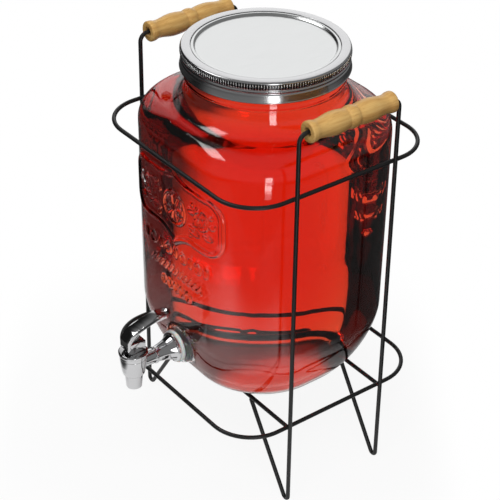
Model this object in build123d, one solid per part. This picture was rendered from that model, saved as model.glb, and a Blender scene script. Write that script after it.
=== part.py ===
from build123d import *
import os
from math import atan, cos, pi, radians, sin, tan

# Lemonade dispenser in millimetres: a rounded-square glass jar with a flip-lever tap and a
# screw lid, carried in a bent-wire stand with two turned wooden grips.
# The jar's axis is the Z axis while the pieces are made, the floor is at z = 0, the tap looks
# towards -Y and the grips lie along Y at +X and -X. save() then moves every piece along Y, so
# that the origin is under the middle of the whole object.

# Wire stand
wire_dia = 4.0
weld_sink = 0.4
upright_y = 55.0
grip_bar_z = 400.0
grip_bend_r = 8.0
foot_bend_r = 3.6
leg_angle = 32.7
guard_ring_z = 336.8
guard_ring_room = 4.9
guard_ring_side_room = 6.9
guard_ring_corner_r = 41.0
cradle_z = 88.7
cradle_ring_half_y = 108.7
cradle_ring_corner_r = 42.0

# Wooden grips
grip_length = 93.0
grip_bore_gap = 0.1
grip_bead_r = 11.6
grip_bead_half = 5.2
grip_groove_r = 10.5
grip_belly_r = 11.3
grip_belly_y = 17.0
grip_turn_r = 10.5
grip_turn_y = 28.0
grip_neck_r = 9.7
grip_neck_y = 36.0
grip_flare_r = 10.9
grip_end_round = 1.6
grip_mouth_r = 4.4
grip_mouth_depth = 5.0

# Glass jar
jar_seat_gap = 0.3
jar_half_x = 104.5
jar_half_y = 100.5
jar_flat_half = 30.5
jar_wall = 4.5
jar_floor = 9.0
jar_draft = 1.0
heel_inset = 29.0
heel_height = 67.0
foot_top_gap = 2.0
heel_curve = 1.5
shoulder_z = 342.0
shoulder_rise = 26.0
shoulder_curve = 2.5
shoulder_lip = 0.5
corner_tighten = 0.1
corner_room = 1.0
loft_steps = 6
neck_r = 72.0
neck_height = 50.15
neck_wall = 4.5
neck_flare_r = 7.5
neck_bead = 1.2
neck_root_inset = 1.0
neck_bead_rise = 25.0
neck_bead_height = 3.0
rim_edge = 1.2

# Raised label frame on the jar's front
label_half_width = 66.0
label_bottom_z = 260.0
label_top_z = 321.0
label_corner_r = 19.0
label_rim = 7.0
label_relief = 1.5
label_peak = 7.0
label_peak_half = 21.0
label_drop = 12.0
label_drop_half = 22.0

# Tap: barrel axis, flange and glass boss
tap_z = 135.5
boss_r = 17.5
boss_proud = 0.5
pad_r = 15.5
pad_thick = 10.5
pad_cut = 9.0
tap_hole_r = 6.5
outer_washer = 3.5
outer_washer_r = 16.0
inner_washer = 2.5
inner_washer_r = 14.0
flange_thick = 2.1
flange_r = 14.5
flange_neck_r = 12.0
cone_length = 19.0
barrel_r = 7.2
collar_r = 8.3
collar_width = 1.8
tail_r = 6.0
tail_length = 12.6
waterway_r = 4.0
nut_thick = 7.0
nut_flats = 24.0
washer_gap = 0.1

# Tap: valve body, bonnet and nozzle
valve_reach = 48.3
valve_top_z = 144.4
valve_top_r = 12.9
valve_mid_r = 12.1
valve_low_r = 10.3
valve_low_z = 126.4
nozzle_top_r = 8.5
nozzle_tip_r = 7.3
nozzle_tip_z = 110.5
nozzle_bore_r = 5.0
chamber_r = 8.2
seat_z = 127.6
seat_rise = 2.8
bonnet_height = 6.9
bonnet_rim_r = 13.8
bonnet_rim_height = 2.6
bonnet_skirt = 3.0
bonnet_skirt_wall = 1.6
bonnet_roof = 2.4
screw_gap = 0.05

# Tap: stem, plug, spring and lever
pivot_above_bonnet = 4.3
cam_gap = 0.3
lever_range = 90.0
stem_travel = 5.5
stem_r = 2.5
stem_gap = 0.1
stem_eye_r = 4.0
stem_eye_width = 5.2
pin_r = 1.5
pin_gap = 0.06
plug_r = 7.4
plug_height = 4.8
plug_floor = 1.5
plug_seat_gap = 0.4
spring_wire = 0.9
spring_r = 5.0
spring_turns = 5.0
spring_gap = 0.3
lever_width = 12.8
fork_gap = 0.3
hub_rear = 9.8
hub_top = 6.6
arm_root = 3.1
arm_top = [(-3.7, 16.8), (5.4, 20.2), (18.9, 24.0), (28.0, 25.6)]
arm_under = [(28.0, 21.0), (19.0, 20.8), (6.0, 17.2), (-1.5, 13.6)]
paddle_y = 34.0
paddle_r = 7.3
paddle_low = 20.2
paddle_high = 24.9
dish_sphere_r = 9.0
dish_depth = 1.8

# Lid
sheet = 0.7
lid_gap = 0.3
seal_thick = 1.2
seal_width = 5.0
disc_bead_gap = 1.6
disc_bead_width = 2.7
disc_panel_drop = 1.4
disc_bead_rise = 0.5
thread_room = 3.0
band_height = 20.0
band_flange = 8.8
band_edge_r = 1.3
band_knurl_end = 6.5
band_waves = [(-0.9, 7.6), (0.0, 9.2), (-0.7, 10.8), (0.2, 14.0), (0.9, 18.9)]
band_roll_r = 0.9


# Shared places
wire_r = wire_dia / 2
jar_corner_r = min(jar_half_x, jar_half_y) - jar_flat_half
guard_ring_half_y = jar_half_y + guard_ring_room + wire_r
boss_face_y = jar_half_y + boss_proud
pad_face_y = boss_face_y - pad_thick
valve_y = boss_face_y + valve_reach
neck_bead_r = neck_r + neck_bead
ring_half_x = jar_half_x + guard_ring_side_room + wire_r
upright_x = ring_half_x + wire_dia - weld_sink
jar_base_z = cradle_z + wire_r + jar_seat_gap
bonnet_top_z = valve_top_z + bonnet_height
pivot_z = bonnet_top_z + pivot_above_bonnet
cam_foot = pivot_above_bonnet - cam_gap
cam_rate = stem_travel / radians(lever_range)
outer_face_y = boss_face_y + outer_washer
heel_top_z = jar_base_z + heel_height
foot_top_z = tap_z - boss_r - foot_top_gap
crown_z = shoulder_z + shoulder_rise
shoulder_top_half = neck_r + neck_flare_r + shoulder_lip
neck_bead_z = crown_z + neck_bead_rise
rim_z = crown_z + neck_height
band_r = neck_r + thread_room + sheet
band_hole_r = band_r - band_flange
disc_r = neck_r
disc_bead_r = band_hole_r - disc_bead_gap
disc_panel_r = disc_bead_r - disc_bead_width
lid_disc_z = rim_z + lid_gap + seal_thick
band_top_z = lid_disc_z + 2 * sheet + lid_gap
front_reach = valve_y + bonnet_rim_r
rear_reach = cradle_ring_half_y + wire_r
y_shift = (front_reach - rear_reach) / 2


def save(shape, node):
    """Write one node, moved so that the origin is under the middle of the object."""
    export_step(Pos(0, y_shift, 0) * shape, "parts/" + node + ".step")


# Each place is a plane whose own X is a radius and whose own Y is the height on its axis
jar_axis = Plane.XZ
barrel_axis = Plane(origin=(0, 0, tap_z), x_dir=(1, 0, 0), z_dir=(0, 0, -1))
valve_axis = Plane(origin=(0, -valve_y, 0), x_dir=(1, 0, 0), z_dir=(0, -1, 0))
pivot_place = Plane(origin=(0, -valve_y, pivot_z), x_dir=(0, 1, 0), z_dir=(1, 0, 0))


def turned(outline, place):
    """Turn a closed outline of radius and height once round the place's height axis."""
    return revolve(place * make_face(outline), Axis(place.origin, place.y_dir))


def ring(inner_r, outer_r, low, high, place):
    """A plain ring between two heights on the place's axis, or a disc with inner_r 0."""
    corners = [(inner_r, low), (outer_r, low), (outer_r, high), (inner_r, high)]
    return turned(Polyline(*corners, close=True), place)


# Wire stand
def wire_along(path):
    """A round wire along a path."""
    start = Plane(origin=path @ 0, z_dir=path % 0)
    return sweep(start * Circle(wire_r), path=path)


def side_wire(side):
    """One side of the stand: leg, foot, upright, grip bar, upright, foot and leg."""
    half_angle = radians(leg_angle / 2)
    foot_z = wire_r + foot_bend_r - foot_bend_r / tan(half_angle)
    leg_top_z = cradle_z - wire_r * (1 + sin(radians(leg_angle))) + weld_sink
    leg_top_x = upright_x - (leg_top_z - foot_z) * tan(radians(leg_angle))
    front = [(side * leg_top_x, -upright_y, leg_top_z),
             (side * upright_x, -upright_y, foot_z),
             (side * upright_x, -upright_y, grip_bar_z)]
    rear = [(x, -y, z) for x, y, z in reversed(front)]
    bends = [foot_bend_r, grip_bend_r, grip_bend_r, foot_bend_r]
    return wire_along(FilletPolyline(*front, *rear, radius=bends))


def wire_ring(half_y, corner_r, z):
    """A closed rounded-rectangle ring, welded inside the four uprights."""
    outline = Plane.XY.offset(z) * RectangleRounded(2 * ring_half_x, 2 * half_y, corner_r)
    return wire_along(outline.face().outer_wire())


def crossbar(y):
    """A straight bar under the jar, butted between the cradle ring's two sides."""
    half = ring_half_x - wire_r + weld_sink
    start = Plane(origin=(-half, y, cradle_z), z_dir=(1, 0, 0))
    return extrude(start * Circle(wire_r), 2 * half)


# Wooden grips
def grip(side):
    """A turned grip: a bead between two grooves, two bellies, two necks and flared ends."""
    half = grip_length / 2
    bore = wire_r + grip_bore_gap
    face_r = grip_flare_r - grip_end_round / 2
    bead_low = (grip_groove_r, grip_bead_half)
    bead_mid = (grip_bead_r - (grip_bead_r - grip_groove_r) * 0.3, grip_bead_half * 0.6)
    turn = (grip_turn_r, grip_turn_y)
    flare = (grip_flare_r, half - grip_end_round)
    outline = [
        Line((bore, 0), (grip_bead_r, 0)),
        ThreePointArc((grip_bead_r, 0), bead_mid, bead_low),
        ThreePointArc(bead_low, (grip_belly_r, grip_belly_y), turn),
        ThreePointArc(turn, (grip_neck_r, grip_neck_y), flare),
        Line(flare, (face_r, half)),
        Line((face_r, half), (grip_mouth_r, half)),
        Line((grip_mouth_r, half), (bore, half - grip_mouth_depth)),
        Line((bore, half - grip_mouth_depth), (bore, 0)),
    ]
    half_grip = turned(outline, Plane.XY)
    whole = half_grip + mirror(half_grip, about=Plane.XZ)
    return Pos(side * upright_x, 0, grip_bar_z) * whole


# Glass jar
def rounded_square(inset, corner_r, z):
    """The jar's cross-section, moved inwards by inset."""
    width = 2 * (jar_half_x - inset)
    depth = 2 * (jar_half_y - inset)
    return Pos(0, 0, z) * RectangleRounded(width, depth, corner_r)


def jar_form(skin, base_z):
    """The jar's body without its neck, skin inside the outer surface, from base_z up."""
    heel = []
    heel_rise = heel_top_z - base_z
    for step in range(loft_steps + 1):
        angle = pi / 2 * step / loft_steps
        inward = 1 - sin(angle) ** (2 / heel_curve)
        upward = 1 - cos(angle) ** (2 / heel_curve)
        inset = skin + jar_draft + heel_inset * inward
        corner = jar_corner_r - skin - corner_tighten * heel_inset * inward
        heel.append(rounded_square(inset, corner, base_z + heel_rise * upward))
    wall = [heel[-1], rounded_square(skin, jar_corner_r - skin, shoulder_z)]
    crown = []
    last = (shoulder_top_half - neck_r) / (jar_half_x - neck_r)
    last_angle = pi / 2 - last ** (shoulder_curve / 2)
    for step in range(loft_steps + 1):
        angle = last_angle * step / loft_steps
        keep = cos(angle) ** (2 / shoulder_curve)
        rise = (shoulder_rise - skin) * sin(angle) ** (2 / shoulder_curve)
        half_x = neck_r + (jar_half_x - neck_r) * keep - skin
        half_y = neck_r + (jar_half_y - neck_r) * keep - skin
        corner = min(neck_r + (jar_corner_r - neck_r) * keep - skin, half_y - corner_room)
        section = RectangleRounded(2 * half_x, 2 * half_y, corner)
        crown.append(Pos(0, 0, shoulder_z + rise) * section)
    return loft(heel, ruled=True) + loft(wall, ruled=True) + loft(crown, ruled=True)


def label_outline(margin):
    """The label frame's outline, moved inwards by margin, on the X-Z plane."""
    half = label_half_width - margin
    low = label_bottom_z + margin
    high = label_top_z - margin
    corner = label_corner_r - margin
    lowest = (0, low - label_drop)
    highest = (0, high + label_peak)
    right = [
        Spline(lowest, (label_drop_half, low), tangents=[(1, 0.75), (1, 0)]),
        Line((label_drop_half, low), (half - corner, low)),
        TangentArc((half - corner, low), (half, low + corner), tangent=(1, 0)),
        Line((half, low + corner), (half, high - corner)),
        TangentArc((half, high - corner), (half - corner, high), tangent=(0, 1)),
        Line((half - corner, high), (label_peak_half, high)),
        Spline((label_peak_half, high), highest, tangents=[(-1, 0), (-1, 0.45)]),
    ]
    left = [mirror(edge, about=Plane.YZ) for edge in right]
    return make_face(right + left)


def label_frame():
    """The raised frame, standing label_relief proud of the glass front."""
    band = label_outline(0) - label_outline(label_rim)
    behind = Plane(origin=(0, -jar_half_y / 2, 0), x_dir=(1, 0, 0), z_dir=(0, -1, 0))
    return extrude(behind * band, jar_half_y) & jar_form(-label_relief, jar_base_z)


def neck_outline():
    """Half of the neck's outer outline, with its flare, bead and rounded rim."""
    flare_end = neck_r + neck_flare_r
    root_r = flare_end - neck_root_inset
    bead_low = neck_bead_z - neck_bead_height / 2
    bead_high = neck_bead_z + neck_bead_height / 2
    return [
        Line((0, shoulder_z), (root_r, shoulder_z)),
        Line((root_r, shoulder_z), (flare_end, crown_z)),
        TangentArc((flare_end, crown_z), (neck_r, crown_z + neck_flare_r), tangent=(-1, 0)),
        Polyline((neck_r, crown_z + neck_flare_r), (neck_r, bead_low), (neck_bead_r, neck_bead_z),
                 (neck_r, bead_high), (neck_r, rim_z - rim_edge), (neck_r - rim_edge, rim_z),
                 (0, rim_z), (0, shoulder_z)),
    ]


def jar_glass():
    """The blown jar: heel, walls, shoulder, neck, label frame and the pierced tap boss."""
    mouth_r = neck_r - neck_wall
    outside = jar_form(0, jar_base_z) + turned(neck_outline(), jar_axis) + label_frame()
    outside += ring(0, boss_r, pad_face_y, boss_face_y, barrel_axis)
    inside = jar_form(jar_wall, jar_base_z + jar_floor)
    inside += ring(0, mouth_r, shoulder_z, rim_z + jar_wall, jar_axis)
    inside += ring(0, pad_r, pad_face_y - pad_cut, pad_face_y, barrel_axis)
    pad = ring(0, pad_r, pad_face_y, boss_face_y, barrel_axis)
    hole = ring(0, tap_hole_r, 0, valve_y, barrel_axis)
    return outside - inside + pad - hole


# Tap
seat_top_z = seat_z + seat_rise
seat_slope = seat_rise / (chamber_r - nozzle_bore_r)
plug_z = seat_z + plug_seat_gap
plug_top_z = plug_z + plug_height
roof_z = bonnet_top_z - bonnet_roof


def tap_body():
    """Tail, flange, tapered barrel, valve body and nozzle, with the seat and the waterway."""
    tail_end = pad_face_y - tail_length
    flange_end = outer_face_y + flange_thick
    cone_end = flange_end + cone_length
    collar_end = cone_end + collar_width
    barrel = [(0, tail_end), (tail_r, tail_end), (tail_r, outer_face_y),
              (flange_r, outer_face_y), (flange_r, flange_end), (flange_neck_r, flange_end),
              (barrel_r, cone_end), (collar_r, cone_end), (collar_r, collar_end),
              (barrel_r, collar_end), (barrel_r, valve_y), (0, valve_y)]
    step_z = valve_low_z - (valve_low_r - nozzle_top_r)
    mid_z = (valve_low_z + valve_top_z) / 2
    valve = [
        Polyline((0, valve_top_z), (0, nozzle_tip_z), (nozzle_tip_r, nozzle_tip_z),
                 (nozzle_top_r, step_z), (valve_low_r, valve_low_z)),
        ThreePointArc((valve_low_r, valve_low_z), (valve_mid_r, mid_z),
                      (valve_top_r, valve_top_z)),
        Line((valve_top_r, valve_top_z), (0, valve_top_z)),
    ]
    room = Polyline((0, nozzle_tip_z), (nozzle_bore_r, nozzle_tip_z), (nozzle_bore_r, seat_z),
                    (chamber_r, seat_top_z), (chamber_r, valve_top_z), (0, valve_top_z),
                    close=True)
    body = turned(Polyline(*barrel, close=True), barrel_axis) + turned(valve, valve_axis)
    return body - turned(room, valve_axis) - ring(0, waterway_r, 0, valve_y, barrel_axis)


def tap_bonnet():
    """The ring that closes the valve body, with a skirt screwed into the chamber."""
    skirt_r = chamber_r - screw_gap
    cave_r = skirt_r - bonnet_skirt_wall
    rim_low_z = bonnet_top_z - bonnet_rim_height
    edge = bonnet_rim_r - valve_top_r
    bore = stem_r + stem_gap
    outline = [(skirt_r, valve_top_z - bonnet_skirt), (skirt_r, valve_top_z),
               (valve_top_r, valve_top_z), (valve_top_r, rim_low_z - edge),
               (bonnet_rim_r, rim_low_z), (bonnet_rim_r, bonnet_top_z - edge),
               (valve_top_r, bonnet_top_z), (bore, bonnet_top_z), (bore, roof_z),
               (cave_r, roof_z), (cave_r, valve_top_z - bonnet_skirt)]
    return turned(Polyline(*outline, close=True), valve_axis)


def tap_nut():
    """The six-sided nut that draws the tap against the glass."""
    start = pad_face_y - inner_washer
    face = Plane(origin=(0, -start, tap_z), x_dir=(1, 0, 0), z_dir=(0, 1, 0))
    nut = extrude(face * RegularPolygon(nut_flats / 2, 6, major_radius=False), nut_thick)
    return nut - ring(0, tail_r + screw_gap, 0, valve_y, barrel_axis)


def tap_spring():
    """The return spring between the plug and the bonnet's roof."""
    low = plug_top_z + spring_gap + spring_wire / 2
    height = roof_z - spring_wire / 2 - low
    coil = Helix(height / spring_turns, height, spring_r)
    start = Plane(origin=coil @ 0, z_dir=coil % 0)
    wire_face = start * RegularPolygon(spring_wire / 2, 6)
    return Pos(0, -valve_y, low) * sweep(wire_face, path=coil, is_frenet=True)


def tap_stem():
    """The stem: a rod in the bonnet with a flat round eye for the lever's pin."""
    rod = ring(0, stem_r, plug_z + plug_floor, pivot_z, valve_axis)
    eye = extrude(pivot_place * Circle(stem_eye_r), stem_eye_width / 2, both=True)
    hole = extrude(pivot_place * Circle(pin_r), stem_eye_width, both=True)
    return rod + eye - hole


def tap_seat_plug():
    """The soft plug on the stem, with a cone that matches the seat's."""
    cone_top_z = plug_z + (plug_r - nozzle_bore_r) * seat_slope
    outline = [(0, plug_z), (nozzle_bore_r, plug_z), (plug_r, cone_top_z), (plug_r, plug_top_z),
               (stem_r, plug_top_z), (stem_r, plug_z + plug_floor), (0, plug_z + plug_floor)]
    return turned(Polyline(*outline, close=True), valve_axis)


def cam_point(angle):
    """The cam's edge at one lever angle: its reach from the pin grows evenly with the angle."""
    reach = cam_foot + cam_rate * angle
    across = -reach * sin(angle) - cam_rate * cos(angle)
    upward = -reach * cos(angle) + cam_rate * sin(angle)
    return across, upward


def tap_lever():
    """The lever: cam hub with a fork for the stem's eye, arched arm and dished paddle."""
    last = radians(lever_range)
    cam = [cam_point(last * step / 6) for step in range(7)]
    front = cam[-1][0]
    profile = [
        Line((hub_rear, cam[0][1]), cam[0]),
        Spline(*cam),
        Line(cam[-1], (front, hub_top + arm_root)),
        Spline((front, hub_top + arm_root), *arm_top, (paddle_y, paddle_high)),
        Line((paddle_y, paddle_high), (paddle_y, paddle_low)),
        Spline((paddle_y, paddle_low), *arm_under, (front + arm_root, hub_top)),
        Line((front + arm_root, hub_top), (hub_rear, hub_top)),
        Line((hub_rear, hub_top), (hub_rear, cam[0][1])),
    ]
    lever = extrude(pivot_place * make_face(profile), lever_width / 2, both=True)
    paddle_axis = Plane(origin=(0, paddle_y - valve_y, pivot_z), x_dir=(1, 0, 0), z_dir=(0, -1, 0))
    lever += ring(0, paddle_r, paddle_low, paddle_high, paddle_axis)
    dish_z = pivot_z + paddle_high - dish_depth + dish_sphere_r
    lever -= Pos(0, paddle_y - valve_y, dish_z) * Sphere(dish_sphere_r)
    slot = stem_eye_r + fork_gap
    fork = Rectangle(hub_rear * 2, hub_rear * 2, align=Align.MAX)
    fork_half = stem_eye_width / 2 + fork_gap
    lever -= extrude(pivot_place * Pos(slot, slot) * fork, fork_half, both=True)
    return lever - extrude(pivot_place * Circle(pin_r + pin_gap), lever_width, both=True)


def tap_pivot_pin():
    """The pin through the stem's eye and both cheeks of the lever."""
    return extrude(pivot_place * Circle(pin_r), lever_width / 2, both=True)


# Lid
def lid_disc():
    """The pressed panel: outer rim, bead and a sunk middle."""
    bead_half = (disc_bead_r - disc_panel_r) / 3
    under = [(0, -disc_panel_drop), (disc_panel_r, -disc_panel_drop),
             (disc_bead_r - bead_half, disc_bead_rise), (disc_bead_r, disc_bead_rise),
             (disc_bead_r + bead_half, 0), (disc_r, 0)]
    low = [(r, lid_disc_z + z) for r, z in under]
    high = [(r, z + sheet) for r, z in reversed(low)]
    return turned(Polyline(*low, *high, close=True), jar_axis)


def lid_band():
    """The screw band: top flange, rounded edge, plain knurl zone, waves and a rolled hem."""
    skirt_z = band_top_z - band_edge_r
    knurl_end_z = band_top_z - band_knurl_end
    hem_z = band_top_z - band_height + band_roll_r
    waves = [(band_r + step, band_top_z - depth) for step, depth in band_waves]
    inner_r = band_r - sheet
    shell = [
        Line((band_hole_r, band_top_z), (band_r - band_edge_r, band_top_z)),
        TangentArc((band_r - band_edge_r, band_top_z), (band_r, skirt_z), tangent=(1, 0)),
        Polyline((band_r, skirt_z), (band_r, knurl_end_z), *waves,
                 *[(r - sheet, z) for r, z in reversed(waves)], (inner_r, knurl_end_z),
                 (inner_r, band_top_z - sheet), (band_hole_r, band_top_z - sheet),
                 (band_hole_r, band_top_z)),
    ]
    hem_r = waves[-1][0] - sheet / 2
    hem = ring(hem_r - band_roll_r, hem_r + band_roll_r, hem_z - band_roll_r, hem_z + band_roll_r,
               jar_axis)
    return turned(shell, jar_axis) + hem


os.makedirs("parts", exist_ok=True)
save(side_wire(1), "stand_side_right")
save(side_wire(-1), "stand_side_left")
save(wire_ring(guard_ring_half_y, guard_ring_corner_r, guard_ring_z), "stand_guard_ring")
save(wire_ring(cradle_ring_half_y, cradle_ring_corner_r, cradle_z), "stand_cradle_ring")
save(crossbar(-upright_y), "stand_crossbar_front")
save(crossbar(upright_y), "stand_crossbar_rear")
save(grip(1), "wood_grip_right")
save(grip(-1), "wood_grip_left")

# The jar is one piece of glass, written as four simple hollow nodes from the foot up
rest = jar_glass()
for top_z, node in ((foot_top_z, "jar_foot"), (heel_top_z, "jar_heel"), (shoulder_z, "jar_wall")):
    save(split(rest, bisect_by=Plane.XY.offset(top_z), keep=Keep.BOTTOM), node)
    rest = split(rest, bisect_by=Plane.XY.offset(top_z), keep=Keep.TOP)
save(rest, "jar_crown")
save(tap_body(), "tap_body")
save(tap_bonnet(), "tap_bonnet")
save(ring(tail_r + washer_gap, outer_washer_r, boss_face_y, outer_face_y, barrel_axis),
     "tap_outer_washer")
save(ring(tail_r + washer_gap, inner_washer_r, pad_face_y - inner_washer, pad_face_y,
          barrel_axis), "tap_inner_washer")
save(tap_nut(), "tap_nut")
save(tap_spring(), "tap_spring")
save(tap_stem(), "tap_stem")
save(tap_seat_plug(), "tap_seat_plug")
save(tap_pivot_pin(), "tap_pivot_pin")
save(tap_lever(), "tap_lever")
save(lid_disc(), "lid_disc")
save(ring(disc_r - seal_width, disc_r, lid_disc_z - seal_thick, lid_disc_z, jar_axis), "lid_seal")
save(lid_band(), "lid_band")
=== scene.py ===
# %% [markdown]
# A drink dispenser: glass jar, chromed tap, screw lid, wire stand and two wooden grips.
# The CAD model gives every size and place. This lesson dresses it: each step first says what the
# piece is on the real object, then how it can be made in Blender, and why this way was chosen.
# The frame is loaded first, because each piece rides on one of its bodies. The box of the CAD
# model is kept.

# %% Load the CAD frame
import bpy
import bmesh
import math
import numpy as np
from mathutils import Vector, Matrix


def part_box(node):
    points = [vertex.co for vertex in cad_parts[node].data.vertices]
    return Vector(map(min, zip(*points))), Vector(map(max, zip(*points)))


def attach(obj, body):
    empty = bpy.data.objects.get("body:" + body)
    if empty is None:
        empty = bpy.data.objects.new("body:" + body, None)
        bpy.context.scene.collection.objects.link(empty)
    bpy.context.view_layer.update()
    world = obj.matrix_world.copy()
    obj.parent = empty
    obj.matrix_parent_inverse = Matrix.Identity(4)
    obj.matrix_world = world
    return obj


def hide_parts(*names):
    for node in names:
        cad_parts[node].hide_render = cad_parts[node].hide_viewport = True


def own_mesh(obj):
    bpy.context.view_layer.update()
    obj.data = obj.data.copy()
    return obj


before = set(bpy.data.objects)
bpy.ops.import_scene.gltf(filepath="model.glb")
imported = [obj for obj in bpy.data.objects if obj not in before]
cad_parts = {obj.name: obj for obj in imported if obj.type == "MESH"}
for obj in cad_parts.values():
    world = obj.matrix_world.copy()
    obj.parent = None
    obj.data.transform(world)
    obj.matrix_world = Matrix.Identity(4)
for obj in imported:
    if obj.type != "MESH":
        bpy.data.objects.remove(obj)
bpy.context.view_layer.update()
mm = 0.001


def middle_of(node):
    """The middle of a CAD node's box, in metres."""
    return [(a + b) / 2 for a, b in zip(*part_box(node))]


def put(name, data):
    """A new object in the scene for a mesh, a lamp or a camera."""
    thing = bpy.data.objects.new(name, data)
    bpy.context.scene.collection.objects.link(thing)
    return thing


jar_y, valve_y = middle_of("lid_disc")[1], middle_of("tap_bonnet")[1]

# %% [markdown]
# The camera comes first, because every later choice is judged through it. The view was fitted on
# the object's own edges: it looks down by a good third of a right angle, past the tap's
# right side, with a long lens, and it is tilted by less than one degree. A camera looks along its
# own minus Z, so a turn that puts its Z on the line from the target to the camera aims it.

# %% Aim the camera
turn, lift, roll = math.radians(52.43), math.radians(33.35), math.radians(0.77)
back = Vector((math.sin(turn) * math.cos(lift), -math.cos(turn) * math.cos(lift), math.sin(lift)))
target = Vector((-7.01 * mm, jar_y - 9.17 * mm, 203.73 * mm))
distance_mm = 1540.98
lens = bpy.data.cameras.new("camera")
lens.sensor_width = 36.0
lens.lens = 116.4
camera = put("camera", lens)
aim = back.to_track_quat("Z", "Y").to_matrix().to_4x4()
spot = Matrix.Translation(target + back * distance_mm * mm)
camera.matrix_world = spot @ aim @ Matrix.Rotation(roll, 4, "Z")
bpy.context.scene.camera = camera
print("camera at", [round(v, 4) for v in camera.matrix_world.translation])

# %% [markdown]
# Materials and geometry are both built as node trees. Their sums read best as plain Python, so a
# small class wraps a socket and turns +, - and * into Math nodes.

# %% Write node sums as Python
class Value:
    """One output of a node tree that can be used in sums."""

    def __init__(self, tree, socket):
        self.tree = tree
        self.socket = socket

    def sum_with(self, operation, first, second):
        made = self.tree.nodes.new("ShaderNodeMath")
        made.operation = operation
        plug(self.tree, first, made.inputs[0])
        plug(self.tree, second, made.inputs[1])
        return Value(self.tree, made.outputs[0])

    def __add__(self, other):
        return self.sum_with("ADD", self, other)

    def __radd__(self, other):
        return self.sum_with("ADD", other, self)

    def __sub__(self, other):
        return self.sum_with("SUBTRACT", self, other)

    def __rsub__(self, other):
        return self.sum_with("SUBTRACT", other, self)

    def __mul__(self, other):
        return self.sum_with("MULTIPLY", self, other)

    def __rmul__(self, other):
        return self.sum_with("MULTIPLY", other, self)


def plug(tree, value, socket):
    """Link a Value to a socket, or set the socket to a plain number, colour or name."""
    if isinstance(value, Value):
        tree.links.new(value.socket, socket)
    else:
        socket.default_value = value


print("sums ready")

# %% [markdown]
# A second class fills a tree. Its first method makes any node, sets its settings and then plugs
# its values or links. The others are short names for the nodes that come back most often, such as
# a noise that is stretched along a grain, or a soft step between two values.

# %% Fill a node tree
class Recipe:
    """A node tree and the methods that add nodes to it."""

    def __init__(self, tree):
        self.tree = tree

    def node(self, kind, settings=None, inputs=None, out=0):
        made = self.tree.nodes.new(kind)
        for name, value in (settings or {}).items():
            if name == "stops":
                ramp = made.color_ramp
                while len(ramp.elements) < len(value):
                    ramp.elements.new(0.5)
                for stop, (place, colour) in zip(ramp.elements, value):
                    stop.position = place
                    stop.color = colour
            else:
                setattr(made, name, value)
        for key, value in (inputs or {}).items():
            plug(self.tree, value, made.inputs[key])
        return Value(self.tree, made.outputs[out]) if made.outputs else made

    def place(self):
        return self.node("ShaderNodeTexCoord", out="Object")

    def noise(self, scale, detail=3.0, roughness=0.5, place=None):
        return self.node("ShaderNodeTexNoise", inputs={"Vector": place or self.place(), "Scale": scale,
                                                       "Detail": detail, "Roughness": roughness})

    def grain(self, stretch, detail, roughness, turned=(0, 0, 0)):
        """Noise with a scale of its own along each axis."""
        place = self.node("ShaderNodeMapping", inputs={"Vector": self.place(), "Scale": stretch,
                                                       "Rotation": turned})
        return self.noise(1.0, detail, roughness, place)

    def ramp(self, value, stops):
        return self.node("ShaderNodeValToRGB", {"stops": stops}, {"Fac": value})

    def bump(self, height, strength, distance):
        return self.node("ShaderNodeBump", inputs={"Height": height, "Strength": strength,
                                                   "Distance": distance})

    def ease(self, value, start, end, low=0.0, high=1.0):
        """A soft step from low at start to high at end."""
        return self.node("ShaderNodeMapRange", {"interpolation_type": "SMOOTHSTEP"},
                         {"Value": value, "From Min": start, "From Max": end, "To Min": low, "To Max": high})

    def along(self, place, axis):
        """How far a place lies along an axis, or how near a direction is to it."""
        return self.node("ShaderNodeVectorMath", {"operation": "DOT_PRODUCT"}, {0: place, 1: tuple(axis)},
                         "Value")

    def unsigned(self, value):
        return self.node("ShaderNodeMath", {"operation": "ABSOLUTE"}, {0: value})

    def height_of(self, place):
        return self.node("ShaderNodeSeparateXYZ", inputs={0: place}, out="Z")

    def ray(self, kind):
        """1 for rays of one kind, such as Camera, and 0 for all others."""
        return self.node("ShaderNodeLightPath", out=f"Is {kind} Ray")

    def mix(self, factor, first, second, blend="MIX"):
        return self.node("ShaderNodeMix", {"data_type": "RGBA", "blend_type": blend},
                         {"Factor": factor, "A": first, "B": second}, "Result")

    def own(self, kind):
        """A node that every new material comes with."""
        return next(n for n in self.tree.nodes if n.type == kind)

    def dress(self, **sockets):
        """Plug values into the material's Principled shader; an underscore stands for a space."""
        for name, value in sockets.items():
            plug(self.tree, value, self.own("BSDF_PRINCIPLED").inputs[name.replace("_", " ")])

    def end_in(self, socket, value):
        """Plug a value into the material's output."""
        plug(self.tree, value, self.own("OUTPUT_MATERIAL").inputs[socket])


print("node helpers ready")

# %% Make a material with one shader
def finish(name, **sockets):
    """A new material and the recipe that fills it."""
    material = bpy.data.materials.new(name)
    material.use_nodes = True
    recipe = Recipe(material.node_tree)
    recipe.dress(**sockets)
    return material, recipe


def grey(value):
    return (value, value, value, 1.0)


print("material helper ready")

# %% [markdown]
# The stand is mild steel wire under a satin black powder coat. Powder coat isn't a mirror: it has
# a fine orange-peel skin, so its highlight is soft and slightly broken. A little noise in the
# roughness and a very low bump do that.

# %% Black powder coat
wire_black, made = finish("wire_black", Base_Color=grey(0.012), Roughness=0.36)
peel = made.noise(900.0, 2.0)
wear = made.noise(60.0)
made.dress(Roughness=0.30 + wear * 0.16, Normal=made.bump(peel, 0.25, 0.0002))
print(wire_black.name, len(made.tree.nodes), "nodes")

# %% [markdown]
# The grips are pale turned hardwood, perhaps beech or birch, under a thin clear coat. On the lathe
# the grain runs along the grip, so the noise is stretched along Y: long fibres, short dark pores,
# and slow bands where the growth rings were cut. Colour, roughness and bump all follow it.

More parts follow.
